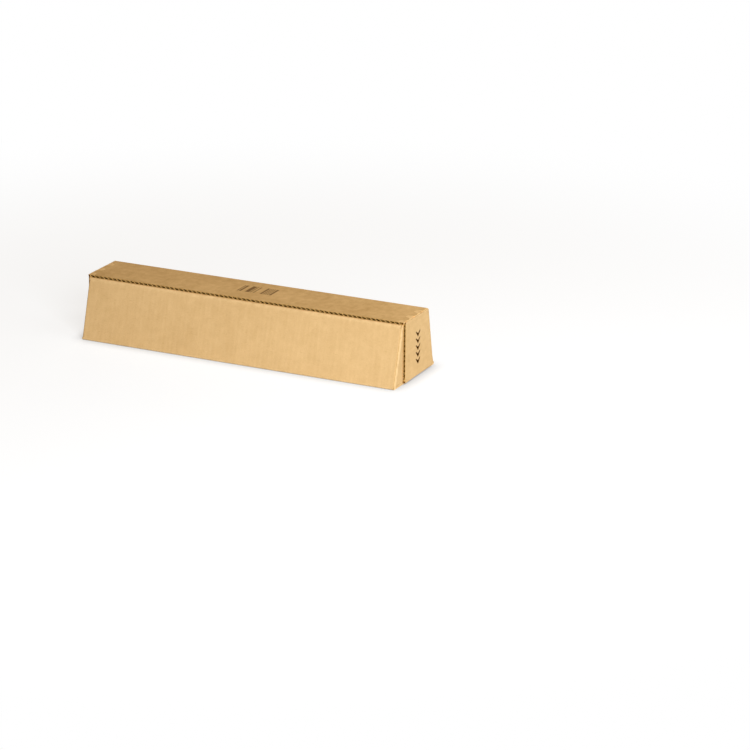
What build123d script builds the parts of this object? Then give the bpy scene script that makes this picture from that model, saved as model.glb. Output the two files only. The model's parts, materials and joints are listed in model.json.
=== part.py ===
# Trapezoid mailing box, folded from one sheet of single-wall corrugated board.
# X runs along the box, the front wall faces -Y, Z is up, and the origin is under the middle of the base.
import os
from math import atan2, cos, pi, sin, sqrt, tan

from build123d import *

os.makedirs("parts", exist_ok=True)

# Box, outside sizes
length = 447.0  # over the outer end flaps
base_width = 114.0
top_width = 67.0
height = 80.0

# Corrugated board
board = 3.0
liner = 0.25  # each of the two outer papers
wave_paper = 0.3  # the waved paper between them
flute_pitch = 6.4
bond_width = 0.7  # where a wave's crest is glued to a liner
wave_steps = 6  # straight runs that make up one channel's curved side

# Folds
fold_radius = 1.8  # outside of a plain crease, whose inside is sharp
crease_radius = 1.5  # outside of the cut crease between the lid and an end flap
crease_gap = 0.2  # slit left where two panels meet at a hinged crease
crease_cuts = 3  # cuts along one cut crease
cut_lead = 3.8  # from the lid's front edge to the middle of the first cut, which opens at that edge
cut_pitch = 22.5
cut_length = 8.0
cut_depth = 1.6  # how far the lid is cut back

# Tray
tuck_depth = 28.0
tuck_chamfer = 9.0
lid_gap = 0.4  # between the lid and the tuck flap under it
seat_gap = 0.3  # between an outer end flap and the inner flaps behind it
inner_flap_gap = 2.0  # between the front and rear inner flaps of one end
inner_flap_clear = 0.3  # above the base and under the tuck flap

# Outer end flaps
front_setback = 3.4  # front edge behind the lid's, at the crease
front_flare = 1.5  # how far the front edge leans out between the crease and the free edge
rear_flare = 13.4
front_foot = 1.8  # free edge above the floor, at the front
rear_foot = 4.0  # more at the rear, where the flap dips as the lid swings up
flap_corner = 1.5
flap_shoulder = 3.0  # rounding of the crease's rear end

# Die-cut chevrons of an end flap, with arms that narrow outwards
chevrons = 5
chevron_pitch = 8.7
chevron_width = 11.2
chevron_height = 6.4
chevron_stroke = 3.7  # opening above the tip
chevron_arm = 1.7  # along the width, at the end of an arm
chevron_drop = 45.6  # from the crease to the tip of the middle chevron
chevron_side = 4.2  # behind the middle of the lid

# Places that follow from the sizes above
lean = atan2((base_width - top_width) / 2, height)
mouth_width = flute_pitch - bond_width
half_length = length / 2
wall_end = half_length - board - seat_gap
fold_start = wall_end - board
front_top = height - board - lid_gap
front_top_y = -(top_width / 2 + (height - front_top) * tan(lean))
tuck_under = front_top - board
inner_flap_low = board + inner_flap_clear
inner_flap_high = tuck_under - inner_flap_clear
lid_front = -(top_width / 2 + board / 2 * tan(lean))
flap_front = lid_front + front_setback

# The fold between the rear wall and the lid: its corner, the bisector and the lid's side of that
rear_corner = Vector(top_width / 2, height)
wall_down = Vector(sin(lean), -cos(lean))
inward = (wall_down + Vector(-1, 0)).normalized()
lid_side = Vector(inward.Y, -inward.X)
half_angle = (pi / 2 + lean) / 2
stub = 2 * (fold_radius / tan(half_angle) + board)

# Hinge lines lie on the rounded outside of their folds, where the outer paper stays whole
rear_hinge = rear_corner + inward * (fold_radius * (1 / sin(half_angle) - 1))
crease_inset = crease_radius * (1 - cos(pi / 4))
print("lid hinge y, z:", round(rear_hinge.X, 3), round(rear_hinge.Y, 3))
print("end hinge x, z:", round(half_length - crease_inset, 3), round(height - crease_inset, 3))


def folded_board(*outside):
    # Board whose outer paper follows these points, with the board to their left and the folds rounded.
    points = [Vector(*point) for point in outside]
    runs = [(end - start).normalized() for start, end in zip(points, points[1:])]
    across = [Vector(-run.Y, run.X) for run in runs]
    mitres = [(one + other) / (1 + one.dot(other)) for one, other in zip(across, across[1:])]
    inside = [point + way * board for point, way in zip(points, (across[0], *mitres, across[-1]))]
    Polygon(*[(point.X, point.Y) for point in (*points, *reversed(inside))], align=None)
    for point in points[1:-1]:
        fillet(vertices().sort_by_distance(point)[0], radius=fold_radius)


def channel_points():
    # One open channel between the wave and a liner, mouth upwards, on the middle of the board.
    mouth_level = board / 2 - liner
    floor_level = wave_paper - mouth_level
    turn = 2 * pi / flute_pitch
    rise = (mouth_level - floor_level) / (1 - cos(turn * mouth_width / 2))
    sides = [mouth_width * (step / wave_steps - 0.5) for step in range(wave_steps + 1)]
    return [(side, floor_level + rise * (1 - cos(turn * side))) for side in sides]


def flutes(start, run, turn):
    # Channels along a run of board, every other one turned over and half a pitch on.
    count = int(2 * (run - mouth_width) / flute_pitch) + 1
    margin = (run - (count - 1) * flute_pitch / 2) / 2
    for index in range(count):
        along = margin + index * flute_pitch / 2
        spot = start + Vector(along, 0).rotate(Axis.Z, turn)
        with Locations(Location((spot.X, spot.Y, 0), (0, 0, turn + 180 * (index % 2)))):
            Polygon(*channel_points(), align=None)


def beyond_mitre(side):
    # Corners of the region on one side of the rear fold's bisector, which cuts a panel to its mitre.
    near = rear_corner - side * (crease_gap / 2)
    far = rear_corner + side * stub
    corners = (near + inward * stub, near - inward * stub, far - inward * stub, far + inward * stub)
    return [(corner.X, corner.Y) for corner in corners]


# Inner end flap of the front wall at the right end, with its slanting fold
fold_plane = Plane(origin=(0, -base_width / 2, 0), x_dir=(1, 0, 0), z_dir=(0, sin(lean), cos(lean)))
with BuildPart() as inner_flap:
    with BuildSketch(fold_plane):
        folded_board((fold_start - board, 0), (wall_end, 0), (wall_end, base_width))
    extrude(amount=2 * height, both=True)
    with Locations((fold_start, -inner_flap_gap / 2, inner_flap_low)):
        Box(
            board,
            base_width,
            inner_flap_high - inner_flap_low,
            align=(Align.MIN, Align.MAX, Align.MIN),
            mode=Mode.INTERSECT,
        )

# Waste outside that slanting fold, which rounds the wall's end above the inner flap's lower edge
with BuildPart() as fold_waste:
    with BuildSketch(fold_plane):
        with Locations((wall_end, 0)):
            Rectangle(fold_radius, fold_radius, align=(Align.MAX, Align.MIN))
        with Locations((wall_end - fold_radius, fold_radius)):
            Circle(fold_radius, mode=Mode.SUBTRACT)
    extrude(amount=2 * height, both=True)
    with Locations((wall_end, 0, inner_flap_low)):
        Box(length, 2 * base_width, height, align=(Align.CENTER, Align.CENTER, Align.MIN), mode=Mode.INTERSECT)

# Tray: base, both walls, tuck flap and the four inner end flaps
with BuildPart() as tray:
    with BuildSketch(Plane.YZ):
        folded_board(
            (front_top_y + tuck_depth, front_top),
            (front_top_y, front_top),
            (-base_width / 2, 0),
            (base_width / 2, 0),
            rear_corner,
            rear_corner - Vector(stub, 0),
        )
        Polygon(*beyond_mitre(lid_side), align=None, mode=Mode.SUBTRACT)
    extrude(amount=wall_end)
    add(fold_waste.part, mode=Mode.SUBTRACT)
    mirror(fold_waste.part, about=Plane.XZ, mode=Mode.SUBTRACT)
    # the walls stop where the slanting folds of the inner flaps begin
    with Locations((fold_start, 0, inner_flap_low)):
        Box(
            board,
            base_width,
            inner_flap_high - inner_flap_low,
            align=(Align.MIN, Align.CENTER, Align.MIN),
            mode=Mode.SUBTRACT,
        )
    tuck_corner = tray.edges().filter_by(Axis.Z).filter_by_position(Axis.Z, tuck_under, front_top)
    chamfer(tuck_corner.sort_by(Axis.X)[-1], length=tuck_chamfer)
    add(inner_flap.part)
    mirror(inner_flap.part, about=Plane.XZ)
    mirror(about=Plane.YZ)

# The tray's base and its two walls are parted just above the base, under the inner end flaps
parting = Plane.XY.offset(board + inner_flap_clear / 2)
with BuildPart() as base_panel:
    add(tray.part)
    split(bisect_by=parting, keep=Keep.BOTTOM)
base_panel.part.label = "base_panel"
export_step(base_panel.part, "parts/base_panel.step")

with BuildPart() as front_wall:
    add(tray.part)
    split(bisect_by=parting, keep=Keep.TOP)
    split(bisect_by=Plane.XZ, keep=Keep.TOP)
front_wall.part.label = "front_wall"
export_step(front_wall.part, "parts/front_wall.step")

with BuildPart() as rear_wall:
    add(tray.part)
    split(bisect_by=parting, keep=Keep.TOP)
    split(bisect_by=Plane.XZ, keep=Keep.BOTTOM)
rear_wall.part.label = "rear_wall"
export_step(rear_wall.part, "parts/rear_wall.step")

# Lid: the narrow panel, with open flutes along its cut front edge
with BuildPart() as lid:
    with BuildSketch(Plane.XZ) as lid_ends:
        with Locations((0, height)):
            Rectangle(length, 2 * board, align=(Align.CENTER, Align.MAX))
        fillet(lid_ends.vertices().group_by(Axis.Y)[-1], radius=crease_radius)
        Polygon(
            (-half_length, height),
            (half_length, height),
            (half_length - board, height - board),
            (board - half_length, height - board),
            align=None,
            mode=Mode.INTERSECT,
        )
    extrude(amount=base_width, both=True)
    with BuildSketch(Plane.YZ):
        folded_board(rear_corner + wall_down * stub, rear_corner, (lid_front, height))
        Polygon(*beyond_mitre(-lid_side), align=None, mode=Mode.SUBTRACT)
    extrude(amount=length, both=True, mode=Mode.INTERSECT)
    with BuildSketch(Plane.XZ.offset(-lid_front)):
        flutes(Vector(board - half_length, height - board / 2), length - 2 * board, 0)
    extrude(amount=-(top_width / 2 - stub - lid_front), mode=Mode.SUBTRACT)
    for cut in range(crease_cuts):
        with Locations((0, lid_front + cut_lead + cut * cut_pitch, height)):
            with GridLocations(length, length, 2, 1):
                Box(2 * cut_depth, cut_length, 2 * board, mode=Mode.SUBTRACT)
lid.part.label = "lid"
export_step(lid.part, "parts/lid.step")

# Outer end flaps: folded down from the lid, with die-cut chevrons and open flutes on both side edges
with BuildPart() as right_end_flap:
    with BuildSketch(Plane.YZ.offset(half_length)) as panel:
        Polygon(
            (flap_front, height),
            (top_width / 2, height),
            (top_width / 2 + rear_flare, rear_foot),
            (flap_front - front_flare, front_foot),
            align=None,
        )
        fillet(panel.vertices().sort_by(Axis.Y)[:2], radius=flap_corner)
        fillet(panel.vertices().group_by(Axis.Y)[-1].sort_by(Axis.X)[-1], radius=flap_shoulder)
    extrude(amount=-board)
    with BuildSketch(Plane.XZ) as crease:
        with Locations((half_length, height)):
            Rectangle(2 * board, height, align=(Align.MAX, Align.MAX))
        fillet(crease.vertices().group_by(Axis.Y)[-1].sort_by(Axis.X)[-1], radius=crease_radius)
        slit_top = height - crease_gap * sqrt(2)
        Polygon(
            (half_length, slit_top),
            (half_length, 0),
            (half_length - board, 0),
            (half_length - board, slit_top - board),
            align=None,
            mode=Mode.INTERSECT,
        )
    extrude(amount=base_width, both=True, mode=Mode.INTERSECT)
    flute_top = height - crease_radius - liner
    with BuildSketch(Plane.XZ.offset(base_width)):
        flutes(Vector(half_length - board / 2, flute_top), flute_top - rear_foot - liner, -90)
    extrude(amount=-2 * base_width, mode=Mode.SUBTRACT)
    with BuildSketch(Plane.YZ.offset(half_length)):
        with Locations((chevron_side, height - chevron_drop)):
            with GridLocations(chevron_pitch, chevron_pitch, 1, chevrons):
                Polygon(
                    (0, 0),
                    (chevron_width / 2, chevron_height),
                    (chevron_width / 2 - chevron_arm, chevron_height),
                    (0, chevron_stroke),
                    (chevron_arm - chevron_width / 2, chevron_height),
                    (-chevron_width / 2, chevron_height),
                    align=None,
                )
    extrude(amount=-board, mode=Mode.SUBTRACT)
right_end_flap.part.label = "right_end_flap"
export_step(right_end_flap.part, "parts/right_end_flap.step")

with BuildPart() as left_end_flap:
    mirror(right_end_flap.part, about=Plane.YZ)
left_end_flap.part.label = "left_end_flap"
export_step(left_end_flap.part, "parts/left_end_flap.step")
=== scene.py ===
import json
import math
import operator

import bmesh
import bpy
from mathutils import Matrix, Vector


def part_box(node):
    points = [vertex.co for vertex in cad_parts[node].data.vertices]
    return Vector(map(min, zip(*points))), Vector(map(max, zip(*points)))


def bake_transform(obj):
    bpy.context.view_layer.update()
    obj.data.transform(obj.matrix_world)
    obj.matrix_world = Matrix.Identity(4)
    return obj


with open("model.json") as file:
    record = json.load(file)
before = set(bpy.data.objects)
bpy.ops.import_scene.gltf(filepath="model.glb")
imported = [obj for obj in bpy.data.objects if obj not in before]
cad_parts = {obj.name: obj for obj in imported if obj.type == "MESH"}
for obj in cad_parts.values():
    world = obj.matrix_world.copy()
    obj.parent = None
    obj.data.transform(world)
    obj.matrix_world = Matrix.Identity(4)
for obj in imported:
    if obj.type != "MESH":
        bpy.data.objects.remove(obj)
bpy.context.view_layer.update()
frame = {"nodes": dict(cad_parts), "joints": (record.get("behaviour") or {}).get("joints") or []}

# Sizes read from the frame, in metres
lidLow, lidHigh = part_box("lid")
flapLow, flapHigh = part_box("right_end_flap")
hingeAt = {joint["name"]: Vector(joint["pos_m"]) for joint in frame["joints"]}
board = lidHigh.z - lidLow.z
halfLength = flapHigh.x
boxHeight = lidHigh.z
lidMiddle = (lidLow.z + lidHigh.z) / 2
print("frame: board", round(board, 5), "length", round(2 * halfLength, 4), "height", round(boxHeight, 4))

# Sizes of the folded sheet that the boxes of its nodes don't give
sheet = {
    "baseHalf": 0.057,
    "topHalf": 0.0335,
    "wallEnd": 0.2202,
    "frontTop": 0.0766,  # outside of the fold over the front wall
    "tuckEdge": -0.0065,
    "innerFlapTop": 0.0733,
    "foldRadius": 0.0018,
    "flapSetback": 0.0034,  # front edge of an end flap behind the lid's
    "frontFlare": 0.0015,
    "rearFlare": 0.0134,
    "frontFoot": 0.0018,  # free edge of an end flap above the floor
    "rearFoot": 0.004,
    "flapFlute": 0.07485,  # middle of the highest channel of an end flap
    "creaseSlit": 0.0002,
}
flute = {
    "pitch": 0.0064,
    "liner": 0.00025,
    "wavePaper": 0.0003,
    # painted shade: the dark colour of the flute channels, which are dark only because light does not reach
    # into them
    "inside": (0.11, 0.035, 0.0),
    "rawEdge": (0.62, 0.38, 0.11),  # cut paper, browner than the liner's face
    "rawDepth": (0.0008, 0.0002),
    "lowerFade": (0.0001, 0.0005),  # depth at which the painted shade starts in a channel under a crest
    "upperFade": (0.0005, 0.0030),  # later in a channel over a trough, which faces the light
}
crease = {"layers": 14, "cuts": 3, "cutLead": 0.0038, "cutPitch": 0.0225, "cutLength": 0.008}
lean = math.atan2(sheet["baseHalf"] - sheet["topHalf"], boxHeight)
waveSwing = board / 2 - flute["liner"] - flute["wavePaper"] / 2


# Node helpers
def rgba(colour):
    return (*colour, 1.0)


def addNode(tree, kind, sockets, **settings):
    made = tree.nodes.new("ShaderNode" + kind)
    for key, value in settings.items():
        setattr(made, key, value)
    for key, value in sockets.items():
        if isinstance(value, bpy.types.NodeSocket):
            tree.links.new(value, made.inputs[key])
        else:
            made.inputs[key].default_value = value
    return made


def calc(tree, operation, *values):
    return addNode(tree, "Math", dict(enumerate(values)), operation=operation).outputs[0]


def times(tree, first, *others):
    for other in others:
        first = calc(tree, "MULTIPLY", first, other)
    return first


def fade(tree, value, start, stop):  # 0 before start, 1 after stop; falls if stop is the lesser
    sockets = {"Value": value, "From Min": start, "From Max": stop}
    return addNode(tree, "MapRange", sockets, interpolation_type="SMOOTHSTEP").outputs[0]


def between(tree, value, low, high, soft):
    return times(tree, fade(tree, value, low, low + soft), fade(tree, value, high, high - soft))


def tint(tree, factor, under, over):
    return addNode(tree, "Mix", {0: factor, 6: under, 7: over}, data_type="RGBA").outputs[2]


def noise(tree, spot, size, detail, stretch=(1, 1, 1)):
    turned = addNode(tree, "Mapping", {"Vector": spot, "Scale": stretch}).outputs[0]
    sockets = {"Vector": turned, "Scale": 1 / size, "Detail": detail, "Roughness": 0.55}
    return addNode(tree, "TexNoise", sockets).outputs[0]


def centred(tree, value, amount):  # a 0 to 1 value as a swing about nothing
    return calc(tree, "MULTIPLY", calc(tree, "SUBTRACT", value, 0.5), 2 * amount)


def distance(tree, first, second):
    squares = [calc(tree, "POWER", gap, 2.0) for gap in (first, second)]
    return calc(tree, "SQRT", calc(tree, "ADD", *squares))


# Kraft liner: cloudy tone, fine speckle, long fibres, and the flutes showing through as soft ribs
kraft = {
    "dark": (0.595, 0.382, 0.155),
    "pale": (0.985, 0.714, 0.376),
    "cloudSize": 0.06,
    "cloudSwing": 0.16,
    "mottleSize": 0.009,
    "mottleSwing": 0.16,
    "speckleSize": 0.0011,
    "speckleSwing": 0.22,
    "fibreSize": 0.0011,
    "fibreStretch": 7.0,
    "fibreSpread": (0.62, 0.75),
    "fibreDark": 0.18,
    "streakSize": 0.0042,
    "streakStretch": 0.08,
    "streakSwing": 0.10,
    "ribSwing": 0.020,
    "ribPatch": 0.05,
    "ribWander": 0.9,  # radians that a rib strays from its flute
    "wanderSize": 0.03,
    "ribDepth": 0.00004,
    "grainDepth": 0.00002,
    # lift for folds rubbed pale together with painted highlight on folds and crushed creases
    "wearHighlightLift": 0.22,
    "wearHighlightPatch": 0.006,
    "wearHighlightSpread": (0.25, 0.65),
    "scoreShadeAmount": 0.45,
    "roughness": 0.86,
    "roughSwing": 0.06,
    "specular": 0.06,
}


def ribWave(tree, along, spot):  # one soft rib for each flute, a little uneven
    wander = centred(tree, noise(tree, spot, kraft["wanderSize"], 1.0), kraft["ribWander"])
    turns = calc(tree, "MULTIPLY_ADD", along, 2 * math.pi / flute["pitch"], wander)
    return times(tree, calc(tree, "SINE", turns), noise(tree, spot, kraft["ribPatch"], 2.0))


def kraftTone(tree, spot, rib, speckle, acrossZ, uneven):
    stretch = kraft["fibreStretch"]
    strands = (stretch, stretch, 1) if acrossZ else (1, stretch, stretch)
    fibre = noise(tree, spot, kraft["fibreSize"] * stretch, 2.0, strands)
    fibre = fade(tree, fibre, *kraft["fibreSpread"])
    tone = centred(tree, noise(tree, spot, kraft["cloudSize"], 3.0), uneven * kraft["cloudSwing"])
    mottle = centred(tree, noise(tree, spot, kraft["mottleSize"], 3.0), uneven * kraft["mottleSwing"])
    tone = calc(tree, "ADD", tone, mottle)
    pull = kraft["streakStretch"]
    lanes = (pull, pull, 1) if acrossZ else (1, pull, pull)
    streak = noise(tree, spot, kraft["streakSize"], 2.0, lanes)
    tone = calc(tree, "ADD", tone, centred(tree, streak, kraft["streakSwing"]))
    tone = calc(tree, "ADD", tone, centred(tree, speckle, kraft["speckleSwing"]))
    tone = calc(tree, "MULTIPLY_ADD", fibre, -kraft["fibreDark"], tone)
    return calc(tree, "MULTIPLY_ADD", rib, kraft["ribSwing"], tone)


def kraftBoard(name, look):
    material = bpy.data.materials.new(name)
    material.use_nodes = True
    tree = material.node_tree
    shader = tree.nodes["Principled BSDF"]
    spot = addNode(tree, "TexCoord", {}).outputs["Object"]
    axis = addNode(tree, "SeparateXYZ", {0: spot}).outputs
    rib = ribWave(tree, axis["Z" if look["acrossZ"] else "X"], spot)
    speckle = noise(tree, spot, kraft["speckleSize"], 2.0)

    tone = kraftTone(tree, spot, rib, speckle, look["acrossZ"], look["uneven"])
    # patchy pale rubbing, and painted highlight where folds face the light
    patchy = fade(tree, noise(tree, spot, kraft["wearHighlightPatch"], 3.0), *kraft["wearHighlightSpread"])
    wearAndHighlight = times(tree, patchy, look["wearAndHighlight"](tree, axis))
    tone = calc(tree, "MULTIPLY_ADD", wearAndHighlight, kraft["wearHighlightLift"], tone)
    tone = calc(tree, "MULTIPLY_ADD", look["scoreShade"](tree, axis), -kraft["scoreShadeAmount"], tone)
    # shadeTinge tints a whole node's colours; on the lid it is painted shade of the top face
    dark, pale = (rgba(map(operator.mul, kraft[shade], look["shadeTinge"])) for shade in ("dark", "pale"))
    colour = tint(tree, calc(tree, "ADD", tone, 0.5), dark, pale)
    colour = tint(tree, look["raw"](tree, axis), colour, rgba(flute["rawEdge"]))
    # painted shade: channels, corners and cut rims darkened in the colour, standing in for the shade in
    # them
    inside = look["paintedShadeMask"](tree, axis)
    colour = tint(tree, inside, colour, rgba(flute["inside"]))
    sheen = calc(tree, "MULTIPLY_ADD", inside, -kraft["specular"], kraft["specular"])

    height = calc(tree, "MULTIPLY", rib, kraft["ribDepth"])
    height = calc(tree, "MULTIPLY_ADD", speckle, kraft["grainDepth"], height)
    bump = addNode(tree, "Bump", {"Strength": 1.0, "Distance": 1.0, "Height": height})
    rough = calc(tree, "ADD", centred(tree, speckle, kraft["roughSwing"]), kraft["roughness"])
    tree.links.new(bump.outputs[0], shader.inputs["Normal"])
    tree.links.new(rough, shader.inputs["Roughness"])
    tree.links.new(colour, shader.inputs["Base Color"])
    tree.links.new(sheen, shader.inputs["Specular IOR Level"])
    return material


# Where the folds are rubbed pale and given painted highlight, or given a painted shade line at a score,
# each fade from its outer to its inner limit
foldWearAndPaintedLight = {
    "foldReach": 0.0036,
    "frontReach": 0.0062,  # on the fold over the front wall, mostly painted highlight
    "frontShare": 0.9,
    "endOnWall": (0.0014, 0.0006),  # the painted highlight strip beside an end's slanting score, round the corner
    "endOnFlap": (0.0003, 0.0060, 0.0010),  # its start, stop and softness on the inner flap
    "endShare": 3.2,
    # reach of the painted shade line along an end's slanting score
    "score": (0.0014, 0.0008),
    "crushAside": (0.0095, 0.0020),  # from the middle of a cut in the end creases
    "crushLeast": 0.0014,  # how far the painted highlight of the crushed board reaches into the lid
    "crushMore": 0.0085,  # and how much further beside a cut
    "crushSoft": 0.0006,
    "crushHighlightShare": 4.0,
}


def nowhere(tree, axis):
    return 0.0


def nearFolds(tree, axis, folds, reach):  # 1 on folds that run along X
    best = 0.0
    for foldY, foldZ in folds:
        gapY = calc(tree, "SUBTRACT", axis["Y"], foldY)
        gapZ = calc(tree, "SUBTRACT", axis["Z"], foldZ)
        best = calc(tree, "MAXIMUM", fade(tree, distance(tree, gapY, gapZ), reach, 0.35 * reach), best)
    return best


def fromEndFold(tree, axis):  # along the wall and the inner flap, from the slanting corner between them
    wallY = calc(tree, "MULTIPLY_ADD", axis["Z"], -math.tan(lean), sheet["baseHalf"])
    gapY = calc(tree, "SUBTRACT", wallY, calc(tree, "ABSOLUTE", axis["Y"]))
    gapX = calc(tree, "SUBTRACT", sheet["wallEnd"], calc(tree, "ABSOLUTE", axis["X"]))
    return gapX, calc(tree, "MULTIPLY", gapY, math.cos(lean))


# pale folds, partly rubbed liner and partly painted highlight where the rounded folds face the light
def trayWearAndHighlight(tree, axis):
    frontTopY = -sheet["baseHalf"] + sheet["frontTop"] * math.tan(lean)
    frontFold = nearFolds(tree, axis, [(frontTopY, sheet["frontTop"])], foldWearAndPaintedLight["frontReach"])
    corners = [(sheet["topHalf"], boxHeight), (-sheet["baseHalf"], 0.0), (sheet["baseHalf"], 0.0)]
    onWall, onFlap = fromEndFold(tree, axis)
    ends = times(tree, fade(tree, onWall, *foldWearAndPaintedLight["endOnWall"]), between(tree, onFlap, *foldWearAndPaintedLight["endOnFlap"]))
    ends = times(tree, ends, foldWearAndPaintedLight["endShare"])
    best = calc(tree, "MAXIMUM", times(tree, frontFold, foldWearAndPaintedLight["frontShare"]), ends)
    return calc(tree, "MAXIMUM", nearFolds(tree, axis, corners, foldWearAndPaintedLight["foldReach"]), best)


# painted shade: a thin dark line for the shade in the groove of an end's slanting score
def trayScoreShade(tree, axis):
    return fade(tree, distance(tree, *fromEndFold(tree, axis)), *foldWearAndPaintedLight["score"])


# pale rear fold, partly painted highlight, and painted highlight on the crushed board of the end creases
def lidWearAndHighlight(tree, axis):
    rear = nearFolds(tree, axis, [(sheet["topHalf"], boxHeight)], foldWearAndPaintedLight["foldReach"])
    halfPitch = crease["cutPitch"] / 2
    fromFirst = calc(tree, "SUBTRACT", axis["Y"], lidLow.y + crease["cutLead"])
    fromCut = calc(tree, "ABSOLUTE", calc(tree, "WRAP", fromFirst, halfPitch, -halfPitch))
    fromEnd = calc(tree, "SUBTRACT", halfLength, calc(tree, "ABSOLUTE", axis["X"]))
    # painted highlight on the crushed board beside each cut, where it tilts towards the light
    besideCut = fade(tree, fromCut, *foldWearAndPaintedLight["crushAside"])
    reach = calc(tree, "MULTIPLY_ADD", besideCut, foldWearAndPaintedLight["crushMore"], foldWearAndPaintedLight["crushLeast"])
    crushHighlight = fade(tree, calc(tree, "SUBTRACT", fromEnd, reach), 0.0, -foldWearAndPaintedLight["crushSoft"])
    return calc(tree, "MAXIMUM", rear, times(tree, crushHighlight, foldWearAndPaintedLight["crushHighlightShare"]))


# Cut edges of the board: raw paper at the edge, painted shade in the channels behind it
cutEdge = {
    "linerTrim": (0.3, 0.4),  # shares of a liner: where the hollow starts, and how softly
    "thin": 0.0001,  # softness on the tray's own cut edges
    "lidMitre": (0.0002, 0.0005),
    "lidEnd": (0.7, 0.85),  # shares of the board's thickness in from the end
    "lidCornerShade": (0.0042, 0.0036),
    "cornerShadeDepth": (0.0006, 0.0003),
    "flapMitre": (0.0004, 0.0007),
    "flapFoot": 0.0006,
    "tipFall": (0.0030, 0.0024),  # painted shade at the ends of a flap's front edge, past its first and last channels
    "tipFoot": (0.0008, 0.0002),
    "tipDepth": (0.0008, 0.0004),
    "tipShadeAmount": 0.85,
}


def betweenLiners(tree, across, low, high):
    trim, soft = (share * flute["liner"] for share in cutEdge["linerTrim"])
    return between(tree, across, low + trim, high - trim, soft)


def fluteWave(tree, along, swing, middle):  # the waved paper's place across the board
    turns = calc(tree, "MULTIPLY", along, 2 * math.pi / flute["pitch"])
    return calc(tree, "MULTIPLY_ADD", calc(tree, "COSINE", turns), swing, middle)


def channelDark(tree, deep, shaded):  # painted shade, 1 in the channels, sooner in those that face away from the light
    late = fade(tree, deep, *flute["upperFade"])
    return calc(tree, "MAXIMUM", late, times(tree, fade(tree, deep, *flute["lowerFade"]), shaded))


def openFlutes(tree, across, along):  # 1 in the channels of a plain cut edge, by places on its middle line, for painted shade in the open flutes
    wave = fluteWave(tree, along, waveSwing, 0.0)
    fromWave = calc(tree, "ABSOLUTE", calc(tree, "SUBTRACT", across, wave))
    clear = fade(tree, fromWave, 0.5 * flute["wavePaper"], flute["wavePaper"])
    skin = board / 2 - flute["liner"]
    return times(tree, clear, fade(tree, calc(tree, "ABSOLUTE", across), skin, skin - 0.5 * flute["liner"]))


# painted shade of open flutes drawn on the tray's solid cut edges
def trayPaintedShade(tree, axis):
    thin = cutEdge["thin"]
    tuckMiddle = sheet["frontTop"] - board / 2
    onTuck = fade(tree, axis["Y"], sheet["tuckEdge"] - 2 * thin, sheet["tuckEdge"] - thin)
    onTuck = times(tree, onTuck, between(tree, axis["Z"], tuckMiddle - board / 2, sheet["frontTop"], thin))
    onTuck = times(tree, onTuck, fade(tree, axis["Y"], 0.0, -thin))
    tuck = openFlutes(tree, calc(tree, "SUBTRACT", axis["Z"], tuckMiddle), axis["X"])
    endX = calc(tree, "SUBTRACT", calc(tree, "ABSOLUTE", axis["X"]), sheet["wallEnd"] - board / 2)
    innerTop = sheet["innerFlapTop"]
    onTop = between(tree, axis["Z"], innerTop - 2 * thin, innerTop + 2 * thin, thin)
    onTop = times(tree, onTop, fade(tree, endX, -board / 2 - thin, -board / 2))
    inner = openFlutes(tree, endX, axis["Y"])
    return calc(tree, "MAXIMUM", times(tree, tuck, onTuck), times(tree, inner, onTop))


def lidRaw(tree, axis):
    return fade(tree, calc(tree, "SUBTRACT", axis["Y"], lidLow.y), *flute["rawDepth"])


def lidPaintedShade(tree, axis):
    deep = calc(tree, "SUBTRACT", axis["Y"], lidLow.y)
    under = calc(tree, "LESS_THAN", axis["Z"], fluteWave(tree, axis["X"], -waveSwing, lidMiddle))
    rear = fade(tree, axis["Y"], sheet["topHalf"] - board, sheet["topHalf"] - 2 * board)
    outX = calc(tree, "ABSOLUTE", axis["X"])
    fromMitre = calc(tree, "SUBTRACT", calc(tree, "SUBTRACT", axis["Z"], boxHeight - halfLength), outX)
    ends = fade(tree, outX, *(halfLength - share * board for share in cutEdge["lidEnd"]))
    ends = times(tree, fade(tree, fromMitre, *cutEdge["lidMitre"]), ends)
    # painted shade: a dark spot at the lid's front corners, for the shade in the small hole there
    corner = fade(tree, outX, *(halfLength - gap for gap in cutEdge["lidCornerShade"]))
    corner = times(tree, fade(tree, deep, *cutEdge["cornerShadeDepth"]), corner)
    dark = times(tree, channelDark(tree, deep, under), rear, ends)
    inBoard = betweenLiners(tree, axis["Z"], lidLow.z, lidHigh.z)
    return times(tree, inBoard, calc(tree, "MAXIMUM", dark, corner))


def flapDepth(tree, axis):  # how far in from the nearer side edge of an end flap
    fall = calc(tree, "SUBTRACT", boxHeight, axis["Z"])
    frontSlope = -sheet["frontFlare"] / (boxHeight - sheet["frontFoot"])
    rearSlope = sheet["rearFlare"] / (boxHeight - sheet["rearFoot"])
    frontY = calc(tree, "MULTIPLY_ADD", fall, frontSlope, lidLow.y + sheet["flapSetback"])
    rearY = calc(tree, "MULTIPLY_ADD", fall, rearSlope, sheet["topHalf"])
    deepFront = calc(tree, "SUBTRACT", axis["Y"], frontY)
    return calc(tree, "MINIMUM", deepFront, calc(tree, "SUBTRACT", rearY, axis["Y"]))


def flapRaw(tree, axis):
    return fade(tree, flapDepth(tree, axis), *flute["rawDepth"])


# Die-cut chevrons of the end flaps, with painted shade round each, for the dark within the cut
chevron = {
    "count": 5,
    "lowTip": 0.0170,
    "pitch": 0.0087,
    "middleY": 0.0042,
    "halfWidth": 0.0056,
    "height": 0.0064,
    "stroke": 0.0037,
    "arm": 0.0017,
    "rim": 0.0006,
    "rimShadeAmount": 0.8,
}


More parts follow.
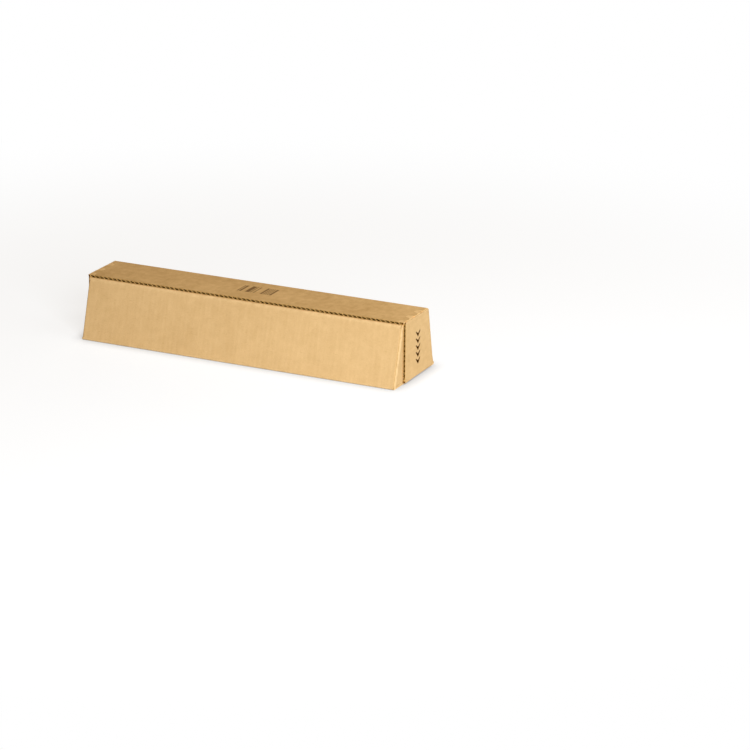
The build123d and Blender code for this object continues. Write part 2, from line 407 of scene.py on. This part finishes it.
# painted shade: a dark band round each chevron cut
def chevronRimShade(tree, axis):
    rim, pitch = chevron["rim"], chevron["pitch"]
    under = chevron["height"] / chevron["halfWidth"]  # slope of an arm's lower edge
    over = (chevron["height"] - chevron["stroke"]) / (chevron["halfWidth"] - chevron["arm"])
    aside = calc(tree, "ABSOLUTE", calc(tree, "SUBTRACT", axis["Y"], chevron["middleY"]))
    rise = calc(tree, "SUBTRACT", axis["Z"], chevron["lowTip"])
    index = calc(tree, "FLOOR", calc(tree, "DIVIDE", calc(tree, "ADD", rise, 1.5 * rim), pitch))
    index = calc(tree, "MINIMUM", calc(tree, "MAXIMUM", index, 0.0), chevron["count"] - 1.0)
    fromTip = calc(tree, "MULTIPLY_ADD", index, -pitch, rise)
    above = calc(tree, "MULTIPLY_ADD", aside, -under, fromTip)
    fromTop = calc(tree, "SUBTRACT", chevron["stroke"], fromTip)
    below = calc(tree, "MULTIPLY_ADD", aside, over, fromTop)
    within = calc(tree, "SUBTRACT", chevron["halfWidth"], aside)
    within = calc(tree, "MINIMUM", within, calc(tree, "DIVIDE", above, math.hypot(1, under)))
    within = calc(tree, "MINIMUM", within, calc(tree, "DIVIDE", below, math.hypot(1, over)))
    return times(tree, fade(tree, within, -rim, -0.4 * rim), chevron["rimShadeAmount"])


def flapPaintedShade(tree, axis):
    outX = calc(tree, "ABSOLUTE", axis["X"])
    fall = calc(tree, "SUBTRACT", boxHeight, axis["Z"])
    deep = flapDepth(tree, axis)
    along = calc(tree, "SUBTRACT", axis["Z"], sheet["flapFlute"])
    outer = calc(tree, "GREATER_THAN", outX, fluteWave(tree, along, -waveSwing, halfLength - board / 2))
    fromMitre = calc(tree, "SUBTRACT", calc(tree, "ADD", fall, outX), halfLength)
    aboveFoot = calc(tree, "SUBTRACT", axis["Z"], sheet["rearFoot"])
    inBoard = betweenLiners(tree, outX, flapLow.x, flapHigh.x)
    dark = times(tree, inBoard, channelDark(tree, deep, outer))
    dark = times(tree, dark, fade(tree, fromMitre, *cutEdge["flapMitre"]))
    dark = times(tree, dark, fade(tree, aboveFoot, 0.0, cutEdge["flapFoot"]))

    # painted shade down the flap's front edge near the crease and the foot
    tipShade = fade(tree, fall, *cutEdge["tipFall"])
    tipShade = calc(tree, "MAXIMUM", tipShade, fade(tree, aboveFoot, *cutEdge["tipFoot"]))
    onFront = calc(tree, "LESS_THAN", axis["Y"], 0.0)
    tipShade = times(tree, tipShade, fade(tree, deep, *cutEdge["tipDepth"]), onFront, cutEdge["tipShadeAmount"])
    return calc(tree, "MAXIMUM", calc(tree, "MAXIMUM", chevronRimShade(tree, axis), tipShade), dark)


# Printed bars on the lid: widths drawn from seeded noise, nothing to read
bars = {
    "middle": (0.002, 0.0032),
    "size": (0.048, 0.0236),
    "module": 0.0014,
    "share": 0.5,
    "seed": 5.0,
    "ink": (0.13, 0.06, 0.012),
    "cover": 0.8,
    "patchSize": 0.0016,
    "patchSpread": (0.2, 0.5),
    "patchLoss": 0.25,
}


def printBars(material):
    tree = material.node_tree
    colourIn = tree.nodes["Principled BSDF"].inputs["Base Color"]
    spot = addNode(tree, "TexCoord", {}).outputs["Object"]
    axis = addNode(tree, "SeparateXYZ", {0: spot}).outputs
    sideways = calc(tree, "SUBTRACT", axis["X"], bars["middle"][0])
    upwards = calc(tree, "SUBTRACT", axis["Y"], bars["middle"][1])
    inWidth = calc(tree, "LESS_THAN", calc(tree, "ABSOLUTE", sideways), bars["size"][0] / 2)
    inDepth = calc(tree, "LESS_THAN", calc(tree, "ABSOLUTE", upwards), bars["size"][1] / 2)
    onTop = calc(tree, "GREATER_THAN", axis["Z"], boxHeight - 0.1 * flute["liner"])
    cell = calc(tree, "FLOOR", calc(tree, "DIVIDE", sideways, bars["module"]))
    seeded = calc(tree, "ADD", cell, bars["seed"])
    draw = addNode(tree, "TexWhiteNoise", {"W": seeded}, noise_dimensions="1D")
    inked = calc(tree, "LESS_THAN", draw.outputs[0], bars["share"])
    patchy = fade(tree, noise(tree, spot, bars["patchSize"], 2.0), *bars["patchSpread"])
    strength = calc(tree, "MULTIPLY_ADD", patchy, bars["patchLoss"], bars["cover"] - bars["patchLoss"])
    cover = times(tree, inked, inWidth, inDepth, onTop, strength)
    paper = colourIn.links[0].from_socket
    tree.links.new(tint(tree, cover, paper, rgba(bars["ink"])), colourIn)


trayLook = {
    "acrossZ": False,
    "uneven": 1.0,
    "shadeTinge": (1.0, 1.0, 1.0),
    "wearAndHighlight": trayWearAndHighlight,
    "scoreShade": trayScoreShade,
    "raw": nowhere,
    "paintedShadeMask": trayPaintedShade,
}
lidLook = {
    "acrossZ": False,
    "uneven": 2.4,
    # painted shade: the lid's colours made less blue, standing in for how the light falls on the top face
    "shadeTinge": (0.99, 0.955, 0.85),
    "wearAndHighlight": lidWearAndHighlight,
    "scoreShade": nowhere,
    "raw": lidRaw,
    "paintedShadeMask": lidPaintedShade,
}
flapLook = {
    "acrossZ": True,
    "uneven": 1.2,
    "shadeTinge": (1.0, 1.0, 1.0),
    "wearAndHighlight": nowhere,
    "scoreShade": nowhere,
    "raw": flapRaw,
    "paintedShadeMask": flapPaintedShade,
}
trayBoard = kraftBoard("kraft_tray", trayLook)
lidBoard = kraftBoard("kraft_lid", lidLook)
flapBoard = kraftBoard("kraft_flap", flapLook)
printBars(lidBoard)
nodeBoard = {
    "base_panel": trayBoard,
    "front_wall": trayBoard,
    "rear_wall": trayBoard,
    "lid": lidBoard,
    "left_end_flap": flapBoard,
    "right_end_flap": flapBoard,
}
for nodeName, boardMaterial in nodeBoard.items():
    for materialSlot in frame["nodes"][nodeName].material_slots:
        materialSlot.material = boardMaterial
print("materials:", len(bpy.data.materials))


# Mesh helpers
def finishPiece(name, shape, material):
    bmesh.ops.recalc_face_normals(shape, faces=shape.faces)
    mesh = bpy.data.meshes.new(name)
    shape.to_mesh(mesh)
    shape.free()
    mesh.materials.append(material)
    made = bpy.data.objects.new(name, mesh)
    bpy.context.scene.collection.objects.link(made)
    return made


# Creases: the thin stretch of board in a hinged fold, built flat as at rest
def addWafer(shape, middle, across, inward, along):
    place = Matrix((across, inward, across.cross(inward))).transposed().to_4x4()
    place.translation = middle - along / 2
    sides = bmesh.ops.create_grid(shape, x_segments=crease["layers"], y_segments=1, size=0.5, matrix=place)
    faces = list({face for vert in sides["verts"] for face in vert.link_faces})
    raised = bmesh.ops.extrude_face_region(shape, geom=faces)
    moved = [part for part in raised["geom"] if isinstance(part, bmesh.types.BMVert)]
    bmesh.ops.translate(shape, verts=moved, vec=along)


def rearCrease():
    wallDown = Vector((0, math.sin(lean), -math.cos(lean)))
    inward = (wallDown + Vector((0, -1, 0))).normalized()
    lidSide = Vector((0, inward.z, -inward.y))
    outer = hingeAt["lid_hinge"]
    corner = Vector((0, sheet["topHalf"], boxHeight))
    depth = board / math.sin((math.pi / 2 + lean) / 2) - (outer - corner).length
    across = lidSide * sheet["creaseSlit"]
    shape = bmesh.new()
    along = Vector((2 * sheet["wallEnd"], 0, 0))
    addWafer(shape, outer + inward * depth / 2, across, inward * depth, along)
    made = finishPiece("rear_crease", shape, lidBoard)
    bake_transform(made)


def endCrease(side, jointName, flapName):
    outer = hingeAt[jointName]
    inset = halfLength - abs(outer.x)
    inward = Vector((-side, 0, -1)) * (board - inset)
    flapSide = Vector((side, 0, -1)).normalized() * sheet["creaseSlit"]
    shape = bmesh.new()
    for cut in range(crease["cuts"]):
        start = lidLow.y + crease["cutLead"] + cut * crease["cutPitch"] + crease["cutLength"] / 2
        stop = min(start + crease["cutPitch"] - crease["cutLength"], sheet["topHalf"] - sheet["foldRadius"])
        centre = Vector((outer.x, (start + stop) / 2, outer.z))
        addWafer(shape, centre + inward / 2 + flapSide / 2, flapSide, inward, Vector((0, stop - start, 0)))
    made = finishPiece(flapName.replace("end_flap", "crease"), shape, flapBoard)
    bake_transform(made)


rearCrease()
endCrease(-1, "left_flap_hinge", "left_end_flap")
endCrease(1, "right_flap_hinge", "right_end_flap")
print("creases: 3")

# Stage
stage = {
    "floorSize": 30.0,
    "floorTone": (0.74, 0.80, 0.88),
    "nearShare": 0.55,  # how much of the floor's own glow the camera sees beside the box
    "nearGlow": 1.4,
    "contactShadow": (0.02, 0.85),  # reach and strength of the painted contact shadow: the floor's glow dims by ambient occlusion right beside the box
    "fadeOut": (0.35, 1.1),  # further off the floor is plain white
}


def makeFloor():
    shape = bmesh.new()
    bmesh.ops.create_grid(shape, x_segments=1, y_segments=1, size=stage["floorSize"] / 2)
    mesh = bpy.data.meshes.new("studio_floor")
    shape.to_mesh(mesh)
    shape.free()
    material = bpy.data.materials.new("pale_floor")
    material.use_nodes = True
    tree = material.node_tree
    tree.nodes.remove(tree.nodes["Principled BSDF"])
    matt = addNode(tree, "BsdfDiffuse", {"Color": rgba(stage["floorTone"])}).outputs[0]
    # painted contact shadow: ambient occlusion dims the floor's glow beside the box
    reach, share = stage["contactShadow"]
    clear = addNode(tree, "AmbientOcclusion", {"Distance": reach}).outputs["AO"]
    bright = calc(tree, "MULTIPLY_ADD", clear, share * stage["nearGlow"], (1 - share) * stage["nearGlow"])
    glow = addNode(tree, "Emission", {"Color": (1, 1, 1, 1), "Strength": bright}).outputs[0]
    white = addNode(tree, "Emission", {"Color": (1, 1, 1, 1), "Strength": 1.0}).outputs[0]
    seen = addNode(tree, "LightPath", {}).outputs["Is Camera Ray"]
    axis = addNode(tree, "SeparateXYZ", {0: addNode(tree, "TexCoord", {}).outputs["Object"]}).outputs
    away = fade(tree, distance(tree, axis["X"], axis["Y"]), *stage["fadeOut"])
    glowing = times(tree, seen, stage["nearShare"])
    near = addNode(tree, "MixShader", {0: glowing, 1: matt, 2: glow}).outputs[0]
    both = addNode(tree, "MixShader", {0: times(tree, seen, away), 1: near, 2: white})
    tree.links.new(both.outputs[0], tree.nodes["Material Output"].inputs["Surface"])
    mesh.materials.append(material)
    floor = bpy.data.objects.new("studio_floor", mesh)
    bpy.context.scene.collection.objects.link(floor)


light = {
    "key": {"turn": 42.0, "rise": 23.0, "away": 2.4, "size": 1.0, "power": 47.5},  # degrees from the front
    "side": {"turn": 97.0, "rise": 48.0, "away": 1.1, "size": 0.6, "power": 2.45},
    "rear": {"turn": 205.0, "rise": 11.0, "away": 2.4, "size": 0.9, "power": 9.0},
    "ambient": (0.175, 0.10, 0.025),
}


def aim(holder, place, target):
    holder.location = place
    holder.rotation_euler = (target - place).to_track_quat("-Z", "Y").to_euler()


def fromFront(turn, rise):  # unit vector towards a place, by degrees round from the front and up
    turnAngle, riseAngle = math.radians(turn), math.radians(rise)
    level = math.cos(riseAngle)
    return Vector((math.sin(turnAngle) * level, -math.cos(turnAngle) * level, math.sin(riseAngle)))


def makeLights():
    centre = Vector((0, 0, boxHeight / 2))
    for name in ("key", "side", "rear"):
        wanted = light[name]
        lamp = bpy.data.lights.new(name + "_light", "AREA")
        lamp.size = wanted["size"]
        lamp.energy = wanted["power"]
        holder = bpy.data.objects.new(name + "_light", lamp)
        bpy.context.scene.collection.objects.link(holder)
        aim(holder, centre + fromFront(wanted["turn"], wanted["rise"]) * wanted["away"], centre)

    world = bpy.data.worlds.new("studio_world")
    bpy.context.scene.world = world
    world.use_nodes = True
    tree = world.node_tree
    path = addNode(tree, "LightPath", {}).outputs
    direct = calc(tree, "MAXIMUM", path["Is Camera Ray"], path["Is Glossy Ray"])
    direct = calc(tree, "MAXIMUM", direct, path["Is Transmission Ray"])
    shown = tint(tree, direct, rgba(light["ambient"]), (1, 1, 1, 1))
    tree.links.new(shown, tree.nodes["Background"].inputs["Color"])


# Camera at the photograph's viewing angle, with the box at the same place in a 750 pixel square frame
view = {
    "turn": 26.505,
    "rise": 18.957,
    "away": 4.16531,
    "sideways": 0.149195,
    "upwards": -0.029443,
    "focalPixels": 3319.17,
    "framePixels": 750,
}


def makeCamera():
    lens = bpy.data.cameras.new("photo_camera")
    lens.sensor_width = 36.0
    lens.lens = view["focalPixels"] / view["framePixels"] * lens.sensor_width
    lens.clip_end = 100.0
    camera = bpy.data.objects.new("photo_camera", lens)
    bpy.context.scene.collection.objects.link(camera)
    back = fromFront(view["turn"], view["rise"])
    right = Vector((0, 0, 1)).cross(back).normalized()
    up = back.cross(right)
    place = back * view["away"] + right * view["sideways"] + up * view["upwards"]
    aim(camera, place, place - back)
    bpy.context.scene.camera = camera


makeFloor()
makeLights()
makeCamera()
bpy.context.scene.view_settings.view_transform = "Standard"
print("stage: floor, light and camera")
